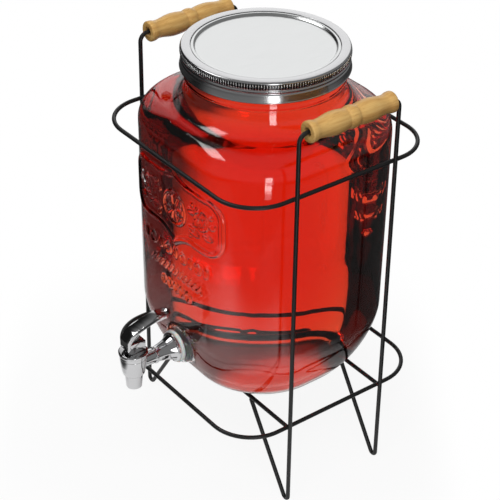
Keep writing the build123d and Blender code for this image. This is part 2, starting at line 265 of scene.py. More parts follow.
# %% Honey-coloured wood
wood_pale, made = finish("wood_pale", Roughness=0.42, Coat_Weight=0.25, Coat_Roughness=0.25)
fibres = made.grain((420.0, 14.0, 420.0), 5.0, 0.6)
rings = made.grain((70.0, 5.0, 110.0), 2.5, 0.55, (0.0, 0.25, 0.1))
pores = made.grain((1500.0, 60.0, 1500.0), 2.0, 0.5)
pore_mask = made.ease(pores, 0.62, 0.72)
honey = made.ramp(rings * 0.65 + fibres * 0.35,
                  [(0.30, (0.42, 0.20, 0.052, 1)), (0.44, (0.58, 0.31, 0.088, 1)),
                   (0.55, (0.71, 0.43, 0.140, 1)), (0.70, (0.80, 0.54, 0.205, 1))])
made.dress(Base_Color=made.mix(pore_mask * 0.45, honey, (0.45, 0.30, 0.17, 1), "MULTIPLY"),
           Roughness=0.36 + pore_mask * 0.2 + fibres * 0.12,
           Normal=made.bump(fibres - pore_mask * 0.6, 0.35, 0.00012))
print(wood_pale.name, len(made.tree.nodes), "nodes")

# %% [markdown]
# The tap is bright chrome on a moulded body. Real chrome is a little darker than silver, with
# faint finger smears that only the roughness shows. The lid is thin sheet: its panel is smooth and
# soft in reflection, and its band is rolled bright. Between the ribs of the band's knurl the metal
# lies in its own shade, and that shade is painted into the band's colour as a dark strip. The ribs
# get a paler tint than the band they are pressed from, a painted highlight. One function makes all of them.

# %% Chrome and sheet metal
def metal(name, tint, rough_low, rough_high, scale, stretch=(1.0, 1.0, 1.0), bump=0.0, painted_knurl_shade=None):
    """A metal: tint, range of roughness, a stretched bump for sheet, and a strip of painted shade (height,
    half width).
    """
    material, made = finish(name, Base_Color=(*tint, 1.0), Metallic=1.0, Roughness=rough_low)
    smear = made.grain(tuple(scale * s for s in stretch), 4.0, 0.6)
    made.dress(Roughness=rough_low + smear * (rough_high - rough_low))
    if bump:
        made.dress(Normal=made.bump(smear, bump, 0.0002))
    # Painted shade: the base colour turns near black in a strip round the knurl's height, for the shade
    # between the ribs.
    if painted_knurl_shade:
        height, half_width = painted_knurl_shade
        off = made.unsigned(made.height_of(made.place()) - height)
        clear = made.ease(off, half_width, half_width + 0.0005)
        made.dress(Base_Color=made.mix(clear, (0.05, 0.05, 0.052, 1), (*tint, 1.0)))
    return material


knurl_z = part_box("lid_band")[1][2] - 4.3 * mm
tap_chrome = metal("tap_chrome", (0.80, 0.80, 0.81), 0.03, 0.10, 90.0)
lid_sheet = metal("lid_sheet", (0.80, 0.81, 0.81), 0.14, 0.24, 60.0, (6.0, 0.6, 1.0), 0.03)
# The band's dark strip at the knurl is painted shade.
band_sheet = metal("band_sheet", (0.74, 0.74, 0.75), 0.15, 0.25, 70.0, (1.0, 1.0, 9.0), 0.05,
                   painted_knurl_shade=(knurl_z, 0.0024))
# The ribs get a paler tint than the band they are pressed from: a painted highlight.
lit_rib_sheet = metal("lit_rib_sheet", (0.86, 0.86, 0.86), 0.16, 0.24, 120.0)
stem_steel = metal("stem_steel", (0.62, 0.62, 0.63), 0.20, 0.34, 120.0)
print("metals", [m.name for m in (tap_chrome, lid_sheet, band_sheet, lit_rib_sheet, stem_steel)])

# %% [markdown]
# The washers are milky silicone, the hidden nut is milky plastic and the seals are a greyer
# rubber. All are a little uneven, with a soft sheen. The washers let some light through, which a
# subsurface weight shows.

# %% Silicone and plastic
def milky(name, tint, rough, scatter):
    """A soft translucent white, with faint clouds in its colour."""
    material, made = finish(name, Roughness=rough, Subsurface_Weight=scatter, Subsurface_Scale=0.004)
    cloud = made.noise(160.0)
    light = tuple(min(1.0, v * 1.05) for v in tint)
    dark = tuple(v * 0.93 for v in tint)
    made.dress(Base_Color=made.ramp(cloud, [(0.35, (*dark, 1)), (0.65, (*light, 1))]),
               Roughness=rough + cloud * 0.1)
    return material


silicone = milky("silicone", (0.86, 0.86, 0.85), 0.30, 0.5)
nut_plastic = milky("nut_plastic", (0.80, 0.80, 0.77), 0.40, 0.1)
seal_rubber = milky("seal_rubber", (0.66, 0.66, 0.63), 0.45, 0.0)
print("soft finishes ready")

# %% [markdown]
# The jar is clear pressed glass. Pressed glass isn't perfectly flat: it has slow waves from the
# mould, which bend what is seen through it, so a broad, low bump goes on the normal. The drink is
# a clear red liquid. Its colour comes from depth, so it is a Volume Absorption inside a surface
# with water's index of refraction: thin places are pink and deep ones dark red.

# %% Glass and drink
jar_glass, made = finish("jar_clear_glass", Base_Color=(0.985, 0.995, 0.99, 1), Roughness=0.0,
                         Transmission_Weight=1.0, IOR=1.5)
waves = made.grain((11.0, 11.0, 16.0), 2.0, 0.4)
made.dress(Normal=made.bump(waves, 0.35, 0.0016))

drink_red, made = finish("drink_red", Base_Color=(1.0, 0.97, 0.97, 1), Roughness=0.0,
                         Transmission_Weight=1.0, IOR=1.33)
depth = made.node("ShaderNodeVolumeAbsorption", inputs={"Color": (0.965, 0.32, 0.05, 1), "Density": 26.0})
made.end_in("Volume", depth)
print("glass and drink ready")

# %% [markdown]
# Most pieces here are wires, turned shapes or skins between rings. All three are points laid out
# by a rule, so a few mesh helpers make them. Each closed skin gets its normals worked out once,
# after its points are merged, so that glass and chrome know their outside. Pieces that start with
# modifiers are turned into plain meshes as soon as the modifiers have done their work.

# %% Turn points and faces into a piece
def piece_of(name, points, faces, material, sharp_deg=40.0):
    """A closed smooth mesh at the origin, with outward faces and sharp edges kept sharp."""
    mesh = bpy.data.meshes.new(name)
    work = bmesh.new()
    corners = [work.verts.new(p) for p in points]
    for face in faces:
        work.faces.new([corners[i] for i in face])
    bmesh.ops.remove_doubles(work, verts=work.verts, dist=0.002 * mm)
    bmesh.ops.recalc_face_normals(work, faces=work.faces)
    for edge in work.edges:
        edge.smooth = len(edge.link_faces) == 2 and edge.calc_face_angle(0.0) < math.radians(sharp_deg)
    for face in work.faces:
        face.smooth = True
    work.to_mesh(mesh)
    work.free()
    mesh.materials.append(material)
    return put(name, mesh)


def ring_faces(rings, columns, closed):
    """Quads between rings of equal length, and back to the first ring when closed."""
    faces = []
    for row in range(rings if closed else rings - 1):
        a, b = row * columns, (row + 1) % rings * columns
        faces += [(a + i, a + (i + 1) % columns, b + (i + 1) % columns, b + i) for i in range(columns)]
    return faces


def joined(name, pieces):
    """Several pieces as one mesh under one name."""
    work = bmesh.new()
    for piece in pieces:
        work.from_mesh(piece.data)
    mesh = bpy.data.meshes.new(name)
    work.to_mesh(mesh)
    work.free()
    mesh.materials.append(pieces[0].data.materials[0])
    for piece in pieces:
        bpy.data.objects.remove(piece)
    return put(name, mesh)


def settled(piece):
    """The mesh that a piece's modifiers make; the modifiers themselves are removed."""
    done = bpy.data.meshes.new_from_object(piece.evaluated_get(bpy.context.evaluated_depsgraph_get()))
    piece.modifiers.clear()
    return done


print("mesh helpers ready")

# %% [markdown]
# Bent wire and turned outlines share one need: straight runs joined by true arcs. This helper
# takes corner points and a radius for each, in two or three dimensions, and gives the points of
# the rounded line. A small radius on every corner of a turned profile is what makes metal look
# real, because each edge then carries its own thin highlight.

# %% Round the corners of a line
def rounded(corners, radii, steps=6, closed=False):
    """Points of a line whose corners are arcs; radii is one number or one for each corner."""
    pts = [Vector(p) for p in corners]
    count = len(pts)
    sizes = [radii] * count if isinstance(radii, (int, float)) else list(radii)
    out = []
    for i, here in enumerate(pts):
        ends = not closed and i in (0, count - 1)
        if ends or sizes[i] <= 0:
            out.append(here)
            continue
        before, after = pts[i - 1] - here, pts[(i + 1) % count] - here
        reach = min(before.length, after.length) * 0.49
        before.normalize()
        after.normalize()
        angle = before.angle(after)
        if angle > math.pi - 0.01:
            out.append(here)
            continue
        along = min(sizes[i] / math.tan(angle / 2), reach)
        radius = along * math.tan(angle / 2)
        middle = here + (before + after).normalized() * (radius / math.sin(angle / 2))
        start, end = here + before * along - middle, here + after * along - middle
        sweep = start.angle(end)
        for k in range(steps + 1):
            t = k / steps
            spoke = (start * math.sin((1 - t) * sweep) + end * math.sin(t * sweep)) / math.sin(sweep)
            out.append(middle + spoke)
    return out


print("a rounded corner has", len(rounded([(0, 0), (1, 0), (1, 1)], 0.2)), "points")

# %% Sweep a wire and turn a profile
def wire(name, line, radius, material, closed=False, sides=20):
    """A round wire along a line, with flat ends when it isn't closed."""
    count = len(line)
    rings = []
    side = None
    for i, here in enumerate(line):
        if closed:
            ahead = line[(i + 1) % count] - line[i - 1]
        else:
            ahead = line[min(i + 1, count - 1)] - line[max(i - 1, 0)]
        ahead = ahead.normalized()
        side = side if side else ahead.orthogonal()
        side = (side - ahead * side.dot(ahead)).normalized()
        up = ahead.cross(side)
        for k in range(sides):
            a = 2 * math.pi * k / sides
            rings.append(here + (side * math.cos(a) + up * math.sin(a)) * radius)
    faces = ring_faces(count, sides, closed)
    if not closed:
        faces += [tuple(range(sides)), tuple(range((count - 1) * sides, count * sides))]
    return piece_of(name, rings, faces, material)


def lathe(name, profile, centre, axis, material, closed=False, steps=72, sharp_deg=40.0):
    """Turn (radius, height) points in millimetres round an axis; an open profile ends on the axis."""
    axis = Vector(axis)
    side = axis.orthogonal().normalized()
    up = axis.cross(side)
    rings = []
    for radius, height in profile:
        for k in range(steps):
            a = 2 * math.pi * k / steps
            out = (side * math.cos(a) + up * math.sin(a)) * (radius * mm)
            rings.append(Vector(centre) + axis * (height * mm) + out)
    return piece_of(name, rings, ring_faces(len(profile), steps, closed), material, sharp_deg)


print("wire and lathe ready")

# %% [markdown]
# The stand's two sides are each one bent wire: leg, tight foot, upright, grip bar, and back down.
# Two rings are welded inside the uprights and two bars cross under the jar. A mesh swept by hand
# gives the exact path of the CAD wire with a rounder section, and its weld beads are added after.

# %% Measure the stand
low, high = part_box("stand_side_right")
radii_high = 201  # the side stands 201 of its wire's radii high
wire_r = (high[2] - low[2]) / radii_high
upright_x = high[0] - wire_r
upright_y = (high[1] - low[1]) / 2 - wire_r
grip_z = high[2] - wire_r
leg_angle = math.radians(32.7)
foot_r, top_bend_r, weld_sink = 3.6 * mm, 8 * mm, 0.4 * mm
cradle_z, guard_z = middle_of("stand_crossbar_front")[2], middle_of("stand_guard_ring")[2]
bar_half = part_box("stand_crossbar_front")[1][0]
foot_z = wire_r + foot_r - foot_r / math.tan(leg_angle / 2)
leg_top_z = cradle_z - wire_r * (1 + math.sin(leg_angle)) + weld_sink
leg_top_x = upright_x - (leg_top_z - foot_z) * math.tan(leg_angle)
print("wire radius", round(wire_r, 5), "upright", round(upright_x, 5), "leg top", round(leg_top_x, 5))

# %% Bend the sides and the rings, and cut the crossbars
runs = []
for name, side in (("stand_side_right", 1), ("stand_side_left", -1)):
    half = [(side * leg_top_x, leg_top_z), (side * upright_x, foot_z), (side * upright_x, grip_z)]
    corners = [(x, jar_y - upright_y, z) for x, z in half]
    corners += [(x, jar_y + upright_y, z) for x, z in half[::-1]]
    runs.append((name, rounded(corners, [0, foot_r, top_bend_r, top_bend_r, foot_r, 0], 10), False))
for name, corner in (("stand_guard_ring", 41 * mm), ("stand_cradle_ring", 42 * mm)):
    low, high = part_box(name)
    ring_x, y, z = high[0] - wire_r, (high[1] - low[1]) / 2 - wire_r, (low[2] + high[2]) / 2
    corners = [(ring_x, jar_y - y, z), (ring_x, jar_y + y, z), (-ring_x, jar_y + y, z),
               (-ring_x, jar_y - y, z)]
    runs.append((name, rounded(corners, corner, 16, closed=True), True))
for name, y in (("stand_crossbar_front", jar_y - upright_y), ("stand_crossbar_rear", jar_y + upright_y)):
    runs.append((name, [Vector((bar_half * t / 8, y, cradle_z)) for t in range(-8, 9)], False))
for name, line, closed in runs:
    piece = wire("wire_" + name, line, wire_r, wire_black, closed)
    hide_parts(name)
    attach(piece, "stand")
print(len(runs), "wires, rings at x", round(ring_x, 5))

# %% [markdown]
# Each wire joint is a spot weld with a small squashed bead of metal that the coating has rounded
# over. Twelve of them repeat one low blob, so Geometry Nodes instances a small sphere, stretched
# along the weld, on a mesh that holds just the twelve points.

# %% Grow a piece with Geometry Nodes
input_kinds = {float: "Float", int: "Int", tuple: "Vector", bpy.types.Material: "Material"}


def grown(name, points, build, settings, material):
    """Run a Geometry Nodes recipe on loose points or a line, and keep its result as a mesh."""
    mesh = bpy.data.meshes.new(name)
    mesh.from_pydata(points, [(i, i + 1) for i in range(len(points) - 1)], [])
    seed = put(name + "_seed", mesh)
    settings = {**settings, "Material": material}
    tree = bpy.data.node_groups.new(name, "GeometryNodeTree")
    tree.interface.new_socket("Geometry", in_out="INPUT", socket_type="NodeSocketGeometry")
    for label, value in settings.items():
        tree.interface.new_socket(label, in_out="INPUT", socket_type="NodeSocket" + input_kinds[type(value)])
    tree.interface.new_socket("Geometry", in_out="OUTPUT", socket_type="NodeSocketGeometry")
    recipe = Recipe(tree)
    given = tree.nodes.new("NodeGroupInput")
    inputs = {label: Value(tree, given.outputs[label]) for label in ("Geometry", *settings)}
    solid = recipe.node("GeometryNodeRealizeInstances", inputs={"Geometry": build(recipe, inputs)})
    painted = recipe.node("GeometryNodeSetMaterial", inputs={"Geometry": solid,
                                                             "Material": inputs["Material"]})
    recipe.node("NodeGroupOutput", inputs={"Geometry": painted})
    run = seed.modifiers.new(name, "NODES")
    run.node_group = tree
    for item in tree.interface.items_tree:
        if item.in_out == "INPUT" and item.name in settings:
            run[item.identifier] = settings[item.name]
    done = settled(seed)
    bpy.data.objects.remove(seed)
    done.name = name
    for face in done.polygons:
        face.use_smooth = True
    print(name, len(done.vertices), "points", len(done.polygons), "faces")
    return put(name, done)


# %% Set a weld bead on every joint
def weld_beads(recipe, given):
    """A small stretched ball on every point."""
    ball = recipe.node("GeometryNodeMeshIcoSphere", inputs={"Radius": given["Bead radius"],
                                                            "Subdivisions": 3})
    loose = recipe.node("GeometryNodeMeshToPoints", inputs={"Mesh": given["Geometry"]})
    size = recipe.node("ShaderNodeCombineXYZ", inputs={"X": 1.0, "Y": given["Stretch"], "Z": 1.0})
    return recipe.node("GeometryNodeInstanceOnPoints", inputs={"Points": loose, "Instance": ball,
                                                               "Scale": size})


joint_x = (upright_x + ring_x) / 2
leg_joint_x = leg_top_x + 0.5 * mm
quarters = [(s, t) for s in (1, -1) for t in (1, -1)]
joints = [(s * joint_x, jar_y + t * upright_y, z) for s, t in quarters for z in (guard_z, cradle_z)]
joints += [(s * leg_joint_x, jar_y + t * upright_y, cradle_z - wire_r) for s, t in quarters]
beads = grown("weld_beads", joints, weld_beads, {"Bead radius": 1.5 * mm, "Stretch": 1.7}, wire_black)
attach(beads, "stand")

# %% [markdown]
# The grips are turned on a lathe and drilled lengthways. One outline serves both: a raised bead in
# the middle between two narrow grooves, a soft belly, a waist, and a flared end with a rounded
# rim. Turning the outline in Blender gives a far smoother skin than the CAD facets.

# %% Turn the wooden grips
def grip_outline():
    """Half of a grip, from its middle to its end: points of (radius, distance from the middle)."""
    bead = [(9.0 + 1.4 * math.cos(math.pi / 2 * t) ** 0.8, 5.4 * t) for t in np.linspace(0, 0.98, 9)]
    belly = [(8.8 + 1.8 * math.sin(math.pi / 2 * t) ** 0.7, 5.4 + 13.6 * t) for t in np.linspace(0.02, 1, 11)]
    waist = [(8.5 + 2.1 * (0.5 + 0.5 * math.cos(math.pi * t)), 19.0 + 18.0 * t)
             for t in np.linspace(0.08, 1, 12)]
    flare = [(8.5 + 1.2 * (0.5 - 0.5 * math.cos(math.pi * t)), 37.0 + 6.0 * t)
             for t in np.linspace(0.15, 1, 7)]
    end = rounded([(9.7, 43.4), (9.7, 46.5), (4.4, 46.5), (2.1, 41.5)], [0, 1.5, 0.7, 0], 6)
    return bead + belly + waist + flare + end


half = grip_outline()
profile = [(r, -h) for r, h in half[::-1]] + half[1:]
for name, side in (("wood_grip_right", 1), ("wood_grip_left", -1)):
    piece = lathe("turned_" + name, profile, (side * upright_x, jar_y, grip_z), (0, 1, 0), wood_pale, True)
    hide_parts(name)
    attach(piece, "grip_right" if side > 0 else "grip_left")
print("grip profile has", len(profile), "points")

# %% [markdown]
# The jar is the main piece. It was pressed in a mould: a rounded square in plan, with a heel that
# curves in below, a shoulder that curves in above, and a round threaded neck. One rule gives its
# outline at any height, so the skin is a stack of rings. A ray from the axis at each of a fixed
# set of angles meets every ring, which keeps the columns straight from the heel to the neck.

# %% The rule of the jar's outline
base_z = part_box("jar_foot")[0][2] / mm
rim_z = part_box("jar_crown")[1][2] / mm
half_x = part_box("jar_wall")[1][0] / mm
half_y, corner_r, wall, floor_thick = 100.5, 70.0, 4.5, 9.0
shoulder_z, neck_r, flare_out, lip_r = 342.0, 72.0, 13.0, 1.6
heel_top, crown_z = base_z + 67.0, shoulder_z + 26.0


def heel_rings(skin, start_z, count):
    """Rings of the heel from its foot up: height, half width, half depth and corner radius."""
    rings = []
    for a in np.linspace(0.0, math.pi / 2, count):
        inward = 1 - math.sin(a) ** (4 / 3)
        upward = 1 - math.cos(a) ** (4 / 3)
        inset = skin + 1.0 + 29.0 * inward
        rings.append((start_z + (heel_top - start_z) * upward, half_x - inset, half_y - inset,
                      corner_r - skin - 2.9 * inward))
    return rings


def wall_rings(skin, heights):
    """Rings of the nearly upright wall, which leans out by 1 mm on its way up."""
    insets = [skin + (shoulder_z - z) / (shoulder_z - heel_top) for z in heights]
    return [(z, half_x - inset, half_y - inset, corner_r - skin) for z, inset in zip(heights, insets)]


def crown_rings(skin, count):
    """Rings of the shoulder and of the flare that turns it into the neck."""
    reach, rise = half_x - neck_r, crown_z - shoulder_z
    keep = flare_out / reach
    high = rise * (1 - keep ** 2.5) ** 0.4
    leave = math.atan2(1.0, rise / reach * (keep * rise / high) ** 1.5)
    flare_r = flare_out / (1 - math.cos(leave))
    a = np.linspace(0.0, math.acos(keep ** 1.25), count)
    t = np.linspace(leave, 0.0, count // 2 + 2)[1:]
    out = np.concatenate([reach * np.cos(a) ** 0.8, flare_r * (1 - np.cos(t))])
    up = np.concatenate([rise * np.sin(a) ** 0.8, high + flare_r * (math.sin(leave) - np.sin(t))])
    run, climb = np.gradient(out), np.gradient(up)
    run[0], run[-1] = 0.0, 0.0
    length = np.hypot(run, climb)
    rings = []
    for o, u, sx, sz in zip(out, up, skin * climb / length, -skin * run / length):
        y = neck_r + o * (half_y - neck_r) / reach - sx
        rings.append((shoulder_z + u - sz, neck_r + o - sx, y,
                      min(neck_r + o * (corner_r - neck_r) / reach - sx, y - 0.01)))
    return rings


def round_rings(points):
    """Round rings from (radius, height) points."""
    return [(z, r, r, r) for r, z in points]


def shrunk(ring, z, scales):
    """Smaller copies of a ring at one height, which close a floor."""
    return [(z, ring[1] * k, ring[2] * k, ring[3] * k) for k in scales]


print("jar", round(2 * half_x, 1), "mm wide, base at", round(base_z, 2), "rim at", round(rim_z, 2))

# %% [markdown]
# A pressed jar carries its decoration in the glass itself. The front and the back have a raised
# frame with an ogee point above and below. Inside it and under it stands a raised pattern, here
# citrus slices, leaves and beads. Each shape is a distance from a simple line or circle, and a
# soft step turns that distance into a height, so the edges are rounded as mould marks are.

# %% Heights of the raised pattern
def soft(distance, width):
    """1 inside a shape and 0 outside it, with a rounded edge; distance is positive inside."""
    t = np.clip(distance / width + 0.5, 0.0, 1.0)
    return t * t * (3 - 2 * t)


def stroke(u, v, ax, az, bx, bz, thick):
    """A rounded stroke between two points."""
    px, pz, dx, dz = u - ax, v - az, bx - ax, bz - az
    t = np.clip((px * dx + pz * dz) / (dx * dx + dz * dz), 0.0, 1.0)
    return soft(thick / 2 - np.hypot(px - dx * t, pz - dz * t), 1.3)


def leaf(u, v, x, z, length, width, angle):
    """A pointed leaf with a groove for its middle vein."""
    c, s = math.cos(angle), math.sin(angle)
    a, b = (u - x) * c + (v - z) * s, -(u - x) * s + (v - z) * c
    t = np.clip(a / length, 0.0, 1.0)
    edge = width / 2 * np.sin(math.pi * t ** 0.8)
    body = soft(edge - np.abs(b), 1.3) * (a > 0) * (a < length)
    return body * (1 - 0.6 * soft(0.5 - np.abs(b), 0.9))


def slice_of_lemon(u, v, x, z, radius, wedges):
    """A cut lemon: a rind ring and wedges between thin walls."""
    r, a = np.hypot(u - x, v - z), np.arctan2(v - z, u - x)
    rind = soft(radius - r, 1.2) * soft(r - radius + 2.2, 1.2)
    part = 2 * math.pi / wedges
    across = np.abs((a + part / 2) % part - part / 2)
    wall_gap = r * np.sin(part / 2 - across)
    wedge = soft(radius - 3.9 - r, 1.2) * soft(wall_gap - 0.8, 1.2) * soft(r - 2.0, 1.2)
    return np.maximum(rind, 0.85 * wedge)


print("a stroke is", float(stroke(np.array(0.0), np.array(0.0), -5, 0, 5, 0, 2)), "high at its middle")

# %% Lay out the frame and the pattern
def frame_height(u, v):
    """The raised frame: a rounded box whose top and bottom edges rise and drop to a point."""
    half_u, half_v, frame_corner, frame_wide = 66.0, 30.5, 19.0, 6.4
    au = np.abs(u)
    top = 321.0 + 7.0 * np.clip(1 - au / 21.0, 0, 1) ** 1.7
    bottom = 260.0 - 12.0 * np.clip(1 - au / 24.0, 0, 1) ** 1.6
    w = (v - bottom) / (top - bottom) * 2 * half_v - half_v
    qx, qz = au - half_u + frame_corner, np.abs(w) - half_v + frame_corner
    inside = frame_corner - np.hypot(np.maximum(qx, 0), np.maximum(qz, 0)) - np.minimum(np.maximum(qx, qz), 0)
    return 2.0 * np.sin(math.pi * np.clip((inside - 0.2) / frame_wide, 0.0, 1.0)) ** 0.8


# Leaves as x, z, length, width and angle, and berries as x and z, all for the right half
leaves = ((20, 296, 17, 7.5, 0.35), (20, 279, 20, 8.5, -0.12), (29, 284, 13, 6, 0.9),
          (42, 281, 14, 6.5, -0.15), (51, 290, 9, 5, 0.8))
berries = ((27, 305), (33, 303.5), (24, 272), (52, 302))
relief = 1.5


def pattern_height(u, v):
    """Slices, leaves and beads: one band in the frame and three shorter ones below it."""
    shapes = [slice_of_lemon(u, v, 0, 288, 17.0, 9)]
    for side in (-1, 1):
        shapes += [slice_of_lemon(u, v, side * 40, 294, 10.0, 7)]
        shapes += [leaf(u, v, side * x, z, length, width, angle if side > 0 else math.pi - angle)
                   for x, z, length, width, angle in leaves]
        shapes += [soft(1.9 - np.hypot(u - side * x, v - z), 1.2) for x, z in berries]
    for k in range(-4, 5):
        x, z = k * 11.4, 239.0 + 0.35 * abs(k)
        if k % 2:
            shapes += [slice_of_lemon(u, v, x, z, 5.6, 5)]
        else:
            shapes += [leaf(u, v, x + s, z - 5.5, 12.0, 5.0, angle)
                       for s, angle in ((-1.0, 1.35), (1.0, 1.80))]
    for k in range(-5, 6):
        x, z = k * 7.2, 218.5
        shapes += [stroke(u, v, x - 2.4, z - 3.4, x + 2.4, z + 3.4, 2.2)]
        shapes += [soft(1.2 - np.hypot(u - x - 3.4, v - z + 2.6), 1.1)]
    for k in range(-2, 3):
        shapes += [soft(1.1 - np.abs(np.hypot((u - k * 9.4) * 1.15, v - 201) - 4.2), 1.2)]
    return relief * np.maximum.reduce(shapes)


print("frame height", float(frame_height(np.array(63.0), np.array(290.0)).round(2)), "mm")

# %% [markdown]
# The columns stand close together over the pattern and far apart on the plain sides, and so do the
# rows. That keeps the whole skin well under two hundred thousand triangles. The mould's parting
# line shows as a fine raised seam at two opposite corners. The glass swells into a flat boss
# where the tap goes through, and into a pad behind it.

# %% Find the points of one ring
def ring_points(level, angles):
    """Points where rays from the axis meet one ring, and the ring's outward directions there."""
    z, hx, hy, corner = level
    c, s = np.sin(angles), -np.cos(angles)
    ac, as_ = np.abs(c) + 1e-9, np.abs(s) + 1e-9
    cx, cy = hx - corner, hy - corner
    b = ac * cx + as_ * cy
    reach = b + np.sqrt(np.maximum(b * b - (cx * cx + cy * cy - corner * corner), 0.0))
    nx, ny = (reach * ac - cx) / max(corner, 1e-6), (reach * as_ - cy) / max(corner, 1e-6)
    on_side = hx / ac * as_ <= cy
    on_front = hy / as_ * ac <= cx
    reach = np.where(on_side, hx / ac, np.where(on_front, hy / as_, reach))
    nx = np.where(on_side, 1.0, np.where(on_front, 0.0, nx)) * np.sign(c)
    ny = np.where(on_side, 0.0, np.where(on_front, 1.0, ny)) * np.sign(s)
    return reach * c, reach * s, np.full_like(reach, z), nx, ny


# Angles round the axis from the front, in degrees: start, end and how many columns
spans = ((-43, 43, 176), (43, 137, 34), (137, 223, 104), (223, 317, 34))
angles = np.radians(np.concatenate([np.linspace(*span, endpoint=False) for span in spans]))
print(len(angles), "columns")

# %% Stack the rings of the jar
carved_low, carved_high = 190.0, 332.0


def outer_levels():
    """The outside of the jar, from the middle of its underside to the top of the rim."""
    foot = heel_rings(0.0, base_z, 24)
    under = [shrunk(foot[0], base_z + hollow, scales)
             for hollow, scales in ((2.4, (0.001, 0.3, 0.6, 0.84)), (0.6, (0.92,)), (0, (0.96,)))]
    plain = wall_rings(0.0, np.linspace(heel_top, carved_low, 7)[1:])
    carved = wall_rings(0.0, np.linspace(carved_low, carved_high - 1, 126)[1:])
    bead = [(neck_r + 1.2 * (0.5 + 0.5 * math.cos(math.pi * t)), 393.0 + lip_r * t)
            for t in np.linspace(-1, 1, 9)]
    straight = [(neck_r, 400.0), (neck_r, 408.0), (neck_r, rim_z - 3.0)]
    rim = [(neck_r - lip_r + lip_r * math.cos(t), rim_z - lip_r + lip_r * math.sin(t))
           for t in np.linspace(0.2, math.pi / 2, 5)]
    neck = round_rings([(neck_r, 388.0)] + bead + straight + rim)
    return sum(under, []) + foot + plain + carved + wall_rings(0.0, (336.5,)) + crown_rings(0.0, 22) + neck


def inside_below_neck(skin, start, count):
    """Rings of the jar's inside, from the neck down to the middle of its floor."""
    foot = heel_rings(skin, start, 18)
    body = wall_rings(skin, np.linspace(shoulder_z, heel_top, 9)[1:-1])
    return crown_rings(skin, count)[::-1] + body + foot[::-1] + shrunk(foot[0], start, (0.7, 0.35, 0.001))


lip = [(neck_r - wall + lip_r - lip_r * math.cos(t), rim_z - lip_r + lip_r * math.sin(t))
       for t in np.linspace(math.pi / 2, 0.0, 5)]
inside = round_rings(lip + [(neck_r - wall, 395.0)]) + inside_below_neck(wall, base_z + floor_thick, 16)
outside = outer_levels()
print(len(outside), "outer rings", len(inside), "inner rings")

# %% Raise the pattern, the seam and the tap's boss
tap_z = middle_of("tap_outer_washer")[2] / mm
boss_y, pad_y, drink_pad_y = -101.0, -90.5, -90.8


def near_tap(x, y, z, radius, edge):
    """1 on the jar's front within a radius round the tap, and 0 further off."""
    return soft(radius - np.hypot(x, z - tap_z), edge) * (y < 0)


def in_metres(x, y, z):
    """Points in the frame, from millimetres round the jar's axis."""
    return np.stack([x * mm, y * mm + jar_y, z * mm], axis=1)


def outer_ring(level):
    """One outer ring with its relief."""
    x, y, z, nx, ny = ring_points(level, angles)
    h = frame_height(x, z) + pattern_height(np.sign(-y) * x, z)
    h = h * (z > carved_low) * (z < carved_high)
    off_seam = np.abs(np.abs(np.arctan2(x * -np.sign(y), np.abs(y))) - math.radians(45.5))
    is_seam = (x * y < 0) * (z > base_z + 3) * (z < 366)
    h = h + 0.35 * soft(0.011 - off_seam, 0.012) * is_seam
    x, y = x + nx * h, y + ny * h
    return in_metres(x, y + (boss_y - y) * near_tap(x, y, z, 19.0, 4.5) * (y > boss_y), z)


def inner_ring(level):
    """One inner ring with the pad behind the tap."""
    x, y, z, nx, ny = ring_points(level, angles)
    return in_metres(x, y + (pad_y - y) * near_tap(x, y, z, 17.0, 3.0), z)


points = np.concatenate([outer_ring(level) for level in outside] + [inner_ring(level) for level in inside])
faces = ring_faces(len(outside) + len(inside), len(angles), False)
jar = piece_of("jar_skin", points.tolist(), faces, jar_glass, 60.0)
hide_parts("jar_foot", "jar_heel", "jar_wall", "jar_crown")
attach(jar, "jar")
print("jar skin", len(jar.data.vertices), "points", len(jar.data.polygons), "faces")

# %% [markdown]
# The neck carries a raised thread for the lid. A thread is a rib that follows a spiral, so
# Geometry Nodes draws the spiral and sweeps a low round section along it.

# %% Wind the neck's thread
def thread(recipe, given):
    """A spiral rib: radius, rise and turns are inputs."""
    spiral = recipe.node("GeometryNodeCurveSpiral", inputs={
        "Resolution": 96, "Rotations": given["Turns"], "Start Radius": given["Radius"],
        "End Radius": given["Radius"], "Height": given["Rise"]})
    moved = recipe.node("GeometryNodeTransform", inputs={"Geometry": spiral, "Translation": given["Foot"]})
    section = recipe.node("GeometryNodeCurvePrimitiveCircle", {"mode": "RADIUS"},
                          {"Resolution": 10, "Radius": given["Rib"]})
    return recipe.node("GeometryNodeCurveToMesh",
                       inputs={"Curve": moved, "Profile Curve": section, "Fill Caps": True})


seed_line = [(0, 0, 0), (0, 0, mm)]
thread_turns, thread_pitch = 1.6, 6.35
neck_thread = grown("neck_thread", seed_line, thread,
                    {"Turns": thread_turns, "Radius": (neck_r + 0.1) * mm,
                     "Rise": thread_turns * thread_pitch * mm, "Rib": 1.1 * mm,
                     "Foot": (0, jar_y, 402.5 * mm)}, jar_glass)
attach(neck_thread, "jar")

# %% [markdown]
# The drink fills the jar right into its neck. Its skin is the jar's own inside, grown by a third of
# a millimetre into the glass, so that no air shows between them. At the wall the surface climbs a
# little, as a real liquid does, and a very low swell keeps it from looking like a sheet of glass.

